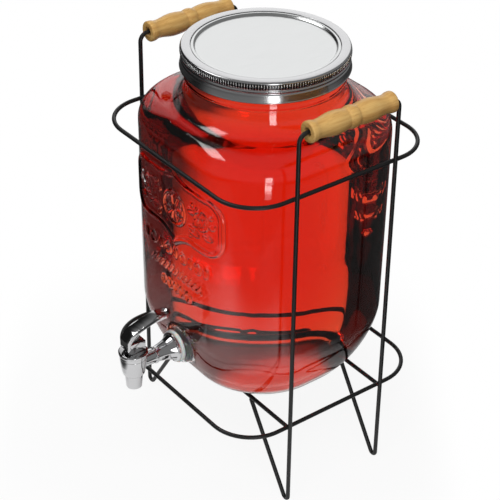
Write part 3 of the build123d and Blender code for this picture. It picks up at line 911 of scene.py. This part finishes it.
# %% Pour the drink
drink_z = 404.0
overlap = 0.3
grown_in = wall - overlap
edge = neck_r - grown_in
climb = 1.3
top = [(edge * k, drink_z - climb * min(1.0, (1 - k) * 12))
       for k in (0.001, 0.3, 0.6, 0.8, 0.9, 0.94, 0.97, 1.0)]
levels = round_rings(top + [(edge, 395.0)]) + inside_below_neck(grown_in, base_z + floor_thick - overlap, 20)
columns = np.radians(np.linspace(0, 360, 128, endpoint=False))
rings = []
for level in levels:
    x, y, z, nx, ny = ring_points(level, columns)
    swell = 0.12 * np.sin(x * 0.11 + y * 0.07) * (z > drink_z - 2)
    y = y + (drink_pad_y - y) * near_tap(x, y, z, 16.0, 3.0) * (z < 200)
    rings.append(in_metres(x, y, z + swell))
faces = ring_faces(len(levels), len(columns), False)
drink = piece_of("drink", np.concatenate(rings).tolist(), faces, drink_red, 70)
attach(drink, "jar")
print("drink", len(drink.data.polygons), "faces, surface at", drink_z)

# %% [markdown]
# The tap is one chromed moulding: a flange that presses the washer to the glass, a tapered barrel,
# and an upright valve body with its nozzle. Both parts are turned shapes, so two profiles with
# rounded corners make them, and the second keeps its bore open from below.

# %% Turn the tap's body
barrel_start, valve_foot = (0.0, jar_y, tap_z * mm), (0.0, valve_y, 0.0)
forward, upward = (0.0, -1.0, 0.0), (0, 0, 1)
tail = rounded([(0, 77.9), (6.0, 77.9), (6.0, 104.5), (14.5, 104.5), (14.5, 106.6), (12.3, 107.4),
                (9.7, 113.5), (7.9, 121.5), (7.4, 125.6), (8.3, 125.8), (8.3, 127.5), (7.2, 127.7),
                (7.2, 139.5), (0, 139.5)],
               [0, 0.5, 0, 0.5, 0.7, 1.2, 8.0, 10.0, 0.5, 0.5, 0.5, 0.4, 0, 0], 6)
barrel = lathe("barrel", tail, barrel_start, forward, tap_chrome)

body = rounded([(5.0, 110.5), (7.3, 110.5), (8.5, 124.4), (8.9, 124.9), (10.3, 126.4), (11.2, 130.0),
                (12.1, 136.0), (12.9, 144.4), (8.2, 144.4), (8.2, 130.4), (5.0, 127.6)],
               [0.3, 0.6, 1.5, 0.6, 0.9, 12.0, 14.0, 0.3, 0.4, 0.4, 0.3], 6, closed=True)
tap_shell = joined("tap_shell", [barrel, lathe("valve", body, valve_foot, upward, tap_chrome, True)])
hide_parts("tap_body")
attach(tap_shell, "jar")

cap = rounded([(8.15, 141.4), (8.15, 144.4), (12.9, 144.4), (12.9, 147.6), (13.8, 148.6), (13.8, 150.5),
               (12.9, 151.3), (3.0, 151.3), (2.6, 150.9), (2.6, 148.9), (6.55, 148.9), (6.55, 141.4)],
              [0.2, 0.2, 0.2, 1.2, 0.7, 0.7, 0.5, 0.2, 0.1, 0.1, 0.2, 0.2], 5, closed=True)
bonnet = lathe("bonnet_ring", cap, valve_foot, upward, tap_chrome, True)
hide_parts("tap_bonnet")
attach(bonnet, "jar")
print("tap shell", len(tap_shell.data.polygons), "faces")

# %% [markdown]
# The lever is a flat moulding seen from the side and a round paddle seen from above. Its foot is
# an involute cam, so that its reach from the pin grows evenly as it turns and lifts the stem. The
# side view is drawn once and given a thickness, the paddle is joined to it, and then it is cut: a
# dish for the fingertip, a fork for the stem and a bore for the pin. A bevel rounds every edge
# that is left.

# %% Draw the lever's side
pin_z = middle_of("tap_pivot_pin")[2]
quarter, cam_rise = math.radians(90), 5.5
rate = cam_rise / quarter


def cam_edge(angle):
    """The cam's edge at one lever angle, from the pin: forwards is minus Y."""
    reach = 4.0 + rate * angle
    return (-reach * math.sin(angle) - rate * math.cos(angle),
            -reach * math.cos(angle) + rate * math.sin(angle))


def through(points, steps=6):
    """A smooth line that passes through a few points."""
    out = []
    for i in range(len(points) - 1):
        p0, p1, p2, p3 = (Vector(points[min(max(j, 0), len(points) - 1)]) for j in (i - 1, i, i + 1, i + 2))
        for k in range(steps):
            t = k / steps
            out.append(0.5 * (2 * p1 + (p2 - p0) * t + (2 * p0 - 5 * p1 + 4 * p2 - p3) * t * t
                              + (3 * p1 - p0 - 3 * p2 + p3) * t ** 3))
    return out + [Vector(points[-1])]


cam = [cam_edge(quarter * k / 14) for k in range(15)]
over = through([(-9.5, 9.7), (-3.7, 16.8), (5.4, 20.2), (18.9, 24.0), (28.0, 25.4), (34.0, 24.9)])
under = through([(34.0, 20.2), (28.0, 20.8), (19.0, 20.6), (6.0, 17.0), (-1.5, 13.2), (-6.4, 6.6)])
side_view = [(9.8, -4.0)] + cam + [tuple(p) for p in over + under] + [(9.8, 6.6)]
print("side view has", len(side_view), "points")

# %% Cut, dish and bevel the lever
def prism(name, outline, half_width):
    """A closed outline in Y and Z from the pin, given a thickness along X."""
    count = len(outline)
    pts = [(s * half_width * mm, valve_y + y * mm, pin_z + z * mm) for s in (-1, 1) for y, z in outline]
    faces = [tuple(range(count)), tuple(range(count, 2 * count))]
    faces += [(i, (i + 1) % count, count + (i + 1) % count, count + i) for i in range(count)]
    return piece_of(name, pts, faces, tap_chrome, 30.0)


def cut(piece, other, operation="DIFFERENCE"):
    """Join or cut two pieces exactly, and keep the first."""
    change = piece.modifiers.new("cut", "BOOLEAN")
    change.operation, change.object, change.solver = operation, other, "EXACT"
    piece.data = settled(piece)
    bpy.data.objects.remove(other)


lever = prism("flip_lever", side_view, 6.4)
paddle_y, dish_r, dish_z, bore_r = 34.0, 9.0, 32.1, 1.56
paddle_spot = (0.0, valve_y + paddle_y * mm, pin_z)
pad = rounded([(0, 20.2), (5.6, 20.2), (7.3, 21.6), (7.3, 24.9), (0, 24.9)], [0, 1.5, 1.0, 0.9, 0], 5)
cut(lever, lathe("paddle", pad, paddle_spot, upward, tap_chrome, False, 64), "UNION")
ball = [(dish_r * math.sin(math.pi * k / 40), dish_z - dish_r * math.cos(math.pi * k / 40))
        for k in range(41)]
cut(lever, lathe("dish", ball, paddle_spot, upward, tap_chrome, False, 48))
cut(lever, prism("fork", [(4.3, 4.3), (-14, 4.3), (-14, -14), (4.3, -14)], 2.9))
bore = [(0, -9), (bore_r, -9), (bore_r, 9), (0, 9)]
cut(lever, lathe("pin_bore", bore, (0.0, valve_y, pin_z), (1, 0, 0), tap_chrome, False, 32))
edge_round = lever.modifiers.new("edges", "BEVEL")
edge_round.width, edge_round.segments, edge_round.limit_method = 0.55 * mm, 3, "ANGLE"
edge_round.angle_limit = math.radians(32)
lever.data = settled(lever)
for face in lever.data.polygons:
    face.use_smooth = True
lever.data.materials.clear()
lever.data.materials.append(tap_chrome)
lever.data.set_sharp_from_angle(angle=math.radians(50))
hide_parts("tap_lever")
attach(lever, "tap_lever")
print("lever", len(lever.data.polygons), "faces")

# %% [markdown]
# The washers are plain rings with soft edges. The return spring is wound again here in round wire;
# on the real tap it shortens, its top staying under the bonnet's roof while the stem comes up. What
# else sits inside the jar or the valve keeps its CAD shape and only gets its finish.

# %% Washers, and finishes for the hidden pieces
soft_ring = rounded([(6.1, 101.0), (16.0, 101.0), (16.0, 104.5), (6.1, 104.5)],
                    [0.2, 0.9, 0.9, 0.2], 5, closed=True)
washer = lathe("outer_washer", soft_ring, barrel_start, forward, silicone, True)
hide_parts("tap_outer_washer")
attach(washer, "jar")

for node, material in (("tap_inner_washer", silicone), ("tap_nut", nut_plastic),
                       ("tap_seat_plug", seal_rubber), ("lid_seal", seal_rubber),
                       ("tap_stem", stem_steel), ("tap_pivot_pin", tap_chrome)):
    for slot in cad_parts[node].material_slots:
        slot.material = material
    print(node, "is", material.name)

# %% Wind the return spring
low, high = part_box("tap_spring")
spring_wire, stem_travel = 0.45 * mm, 5.6 * mm
coil_r = (high.x - low.x) / 2 - spring_wire
coil = []
for t in np.linspace(0.0, 1.0, 241):
    rise = (high.z - low.z - 2 * spring_wire) * (t - 0.25 * math.sin(2 * math.pi * t) / (2 * math.pi))
    coil.append(Vector(((low.x + high.x) / 2 + coil_r * math.cos(10 * math.pi * t),
                        (low.y + high.y) / 2 + coil_r * math.sin(10 * math.pi * t),
                        low.z + spring_wire + rise)))
spring = wire("return_spring", coil, spring_wire, stem_steel, sides=10)
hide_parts("tap_spring")
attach(spring, "jar")
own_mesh(spring)
print("spring", round((high.z - low.z) / mm, 2), "mm long at rest")

# %% [markdown]
# The lid comes in two pieces, as on a preserving jar: a pressed disc, and a screw band that holds
# it. The disc has a sunk middle with a rolled bead round it. The band has a flat flange, a tight
# edge, a knurled strip, two rolled grooves and a flared skirt with a hem.

# %% Press the disc and roll the band
lid_foot, sheet = (0.0, jar_y, 0.0), 0.7
disc_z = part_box("lid_disc")[1][2] / mm - sheet - 0.5
press = rounded([(0, -1.4), (60.9, -1.4), (62.3, -1.1), (64.1, 0.5), (66.0, 0.5), (66.9, 0.0), (72.0, 0.0)],
                [0, 3.0, 1.6, 1.1, 0.9, 0.8, 0], 6)
both_sides = [(r, disc_z + z) for r, z in press] + [(r, disc_z + z + sheet) for r, z in press[::-1]]
disc = lathe("lid_panel", both_sides, lid_foot, upward, lid_sheet, False, 180, 50.0)
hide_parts("lid_disc")
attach(disc, "lid")

band_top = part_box("lid_band")[1][2] / mm
roll = [(66.9, 0), (75.6, 0), (75.6, -6.7), (74.8, -7.6), (75.6, -9.0), (75.5, -9.9), (75.0, -10.9),
        (75.7, -12.2), (75.9, -14.0), (76.5, -18.2), (76.95, -19.2), (76.3, -19.95), (75.5, -19.4),
        (75.8, -18.2), (75.1, -13.6), (74.3, -10.9), (74.8, -9.2), (74.1, -7.6), (74.9, -6.5),
        (74.9, -0.7), (66.9, -0.7)]
bends = [0.15, 1.5, 0.5, 0.8, 0.7, 0.6, 0.8, 1.2, 6.0, 1.2, 0.7, 0.7, 0.4, 1.0, 6.0, 0.6, 0.6, 0.6,
         0.6, 0.9, 0.15]
rolled = [(r, band_top + z) for r, z in rounded(roll, bends, 5, closed=True)]
band = lathe("screw_band", rolled, lid_foot, upward, band_sheet, True, 192, 60.0)
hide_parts("lid_band")
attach(band, "lid_band")
print("disc", len(disc.data.polygons), "band", len(band.data.polygons), "faces")

# %% [markdown]
# The knurl is about two hundred small upright ribs pressed into the strip below the edge. This is
# what Geometry Nodes are best at: a circle with one point for each rib, turned so that each rib
# looks outwards, and one low rib instanced on all of them.

# %% Knurl the band with Geometry Nodes
def knurl(recipe, given):
    """Upright ribs on a circle: count, radius, height, width and depth are inputs."""
    circle = recipe.node("GeometryNodeMeshCircle", inputs={"Vertices": given["Ribs"],
                                                           "Radius": given["Radius"]})
    raised = recipe.node("GeometryNodeTransform", inputs={"Geometry": circle, "Translation": given["Centre"]})
    rod = recipe.node("GeometryNodeMeshUVSphere", inputs={"Segments": 6, "Rings": 6, "Radius": 0.5})
    place = recipe.node("GeometryNodeInputPosition")
    line = recipe.node("ShaderNodeVectorMath", {"operation": "SUBTRACT"}, {0: place, 1: given["Centre"]})
    facing = recipe.node("FunctionNodeAlignRotationToVector", {"axis": "X", "pivot_axis": "Z"},
                         {"Vector": line})
    size = recipe.node("ShaderNodeCombineXYZ", inputs={"X": given["Depth"], "Y": given["Width"],
                                                       "Z": given["Tall"]})
    return recipe.node("GeometryNodeInstanceOnPoints", inputs={"Points": raised, "Instance": rod,
                                                               "Rotation": facing, "Scale": size})


ribs, strip_r = 196, 75.6
rib_pitch = 2 * math.pi * strip_r / ribs
# The ribs' paler tint is a painted highlight.
strip = grown("band_knurl", seed_line, knurl,
              {"Ribs": ribs, "Radius": 75.4 * mm, "Depth": 1.8 * mm, "Width": 0.55 * rib_pitch * mm,
               "Tall": 6.0 * mm, "Centre": (0, jar_y, knurl_z)}, lit_rib_sheet)
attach(strip, "lid_band")
print("rib pitch", round(rib_pitch, 3), "mm")

# %% [markdown]
# The stage is a photographer's table: a pale strip of floor under the object, a broad white
# backdrop behind it, and a dim room with a dark card on the left. Glass and metal are drawn by
# what they bend and mirror, so where the white ends matters more than the lamps do. The camera
# itself sees a white floor that keeps a little of the object's shadow.

# %% Lay the floor
from_camera = Vector((-math.sin(turn), math.cos(turn), 0.0))
sideways = Vector((math.cos(turn), math.sin(turn), 0.0))
edges = [from_camera * f + sideways * s for f, s in ((-0.50, -1.2), (-0.50, 1.2), (2.4, 1.2), (2.4, -1.2))]
floor_mesh = bpy.data.meshes.new("floor")
floor_mesh.from_pydata(edges, [], [(0, 1, 2, 3)])
floor = put("floor", floor_mesh)

floor_pale, made = finish("floor_pale", Roughness=0.6)
camera_ray, bent_ray, mirror_ray = (made.ray(kind) for kind in ("Camera", "Transmission", "Glossy"))
behind, aside = made.along(made.place(), from_camera), made.along(made.place(), sideways)
across = made.unsigned(aside + 0.02 + bent_ray * 0.05)
table = made.ease(across, 0.18, 0.25 + bent_ray * 0.08, 1.0, 0.0) * made.ease(behind, -0.42, -0.24)
away = made.node("ShaderNodeVectorMath", {"operation": "LENGTH"}, {0: made.place()}, "Value")
shadowed = made.ease(away, 0.15, 0.38, 0.09, 0.0)
made.dress(Base_Color=table * 0.76 + 0.04)
glow = made.node("ShaderNodeEmission", inputs={"Color": grey(1.0), "Strength": 1.0})
lit = camera_ray * (1.0 - shadowed * table) + bent_ray * (table * 0.65 + 0.10) + mirror_ray * table * 0.2
surface = Value(made.tree, made.own("BSDF_PRINCIPLED").outputs[0])
made.end_in("Surface", made.node("ShaderNodeMixShader", inputs={0: lit, 1: surface, 2: glow}))
floor_mesh.materials.append(floor_pale)
print("floor laid")

# %% [markdown]
# The backdrop is a fixed part of the world, found by the angle between a direction and its middle,
# which stands 15 degrees up. The card is found in the same way. Light bent by the glass and the
# drink meets the backdrop a little further left and wider. A strip on the right and a box on the
# left give the glass its highlights. The lamp above only fills, so nothing mirrors it.

# %% Light the room
world = bpy.data.worlds.new("studio")
bpy.context.scene.world = world
world.use_nodes = True
room = Recipe(world.node_tree)
room.tree.nodes.clear()


def toward(angle, flat, rise):
    """A fixed direction in the room: its angle seen from above, its level part and its rise."""
    return (-math.sin(angle) * flat, math.cos(angle) * flat, rise)


seen, bent = room.ray("Camera"), room.ray("Transmission")
direction = room.node("ShaderNodeTexCoord", out="Generated")
lean, card = math.radians(11), math.radians(108)
ahead, leaning = (room.along(direction, toward(turn + a, 0.966, 0.259)) for a in (0.0, lean))
backdrop = room.ease(ahead + bent * (leaning - ahead + 0.06), 0.87, 0.97)
walls = room.ease(room.height_of(direction), -0.40, -0.18, 0.02, 0.18)
shade = room.ease(room.along(direction, toward(card, 0.99, 0.14)), 0.55, 0.82, 1.0, 0.06)
bright = room.node("ShaderNodeMath", {"operation": "MAXIMUM"},
                   {0: backdrop, 1: walls * shade * (1.0 - bent * 0.6) + bent * 0.10})
dim = room.node("ShaderNodeBackground", inputs={"Color": bright, "Strength": 1.0})
white = room.node("ShaderNodeBackground", inputs={"Color": grey(1.0), "Strength": 1.0})
both = room.node("ShaderNodeMixShader", inputs={0: seen, 1: dim, 2: white})
room.node("ShaderNodeOutputWorld", inputs={"Surface": both})


def softbox(name, place, aim_at, width, tall, power, mirrored=True):
    """A soft rectangular lamp that looks at a point; a fill lamp isn't mirrored in glass or metal."""
    lamp = bpy.data.lights.new(name, "AREA")
    lamp.shape, lamp.size, lamp.size_y, lamp.energy = "RECTANGLE", width, tall, power
    holder = put(name, lamp)
    spot = Vector(place)
    turned = (spot - Vector(aim_at)).to_track_quat("Z", "Y").to_matrix().to_4x4()
    holder.matrix_world = Matrix.Translation(spot) @ turned
    holder.visible_glossy = holder.visible_transmission = mirrored


middle = (0.0, jar_y, 0.25)
softbox("strip_right", (1.08, -0.52, 0.10), (0.0, 0.0, 0.10), 0.20, 0.86, 2.4)
softbox("box_left", (-0.70, -0.54, 1.53), middle, 0.75, 0.50, 4.2)
softbox("fill_above", (0.6, -0.6, 1.9), middle, 1.2, 1.2, 24.0, False)
bpy.context.scene.view_settings.view_transform = "Standard"
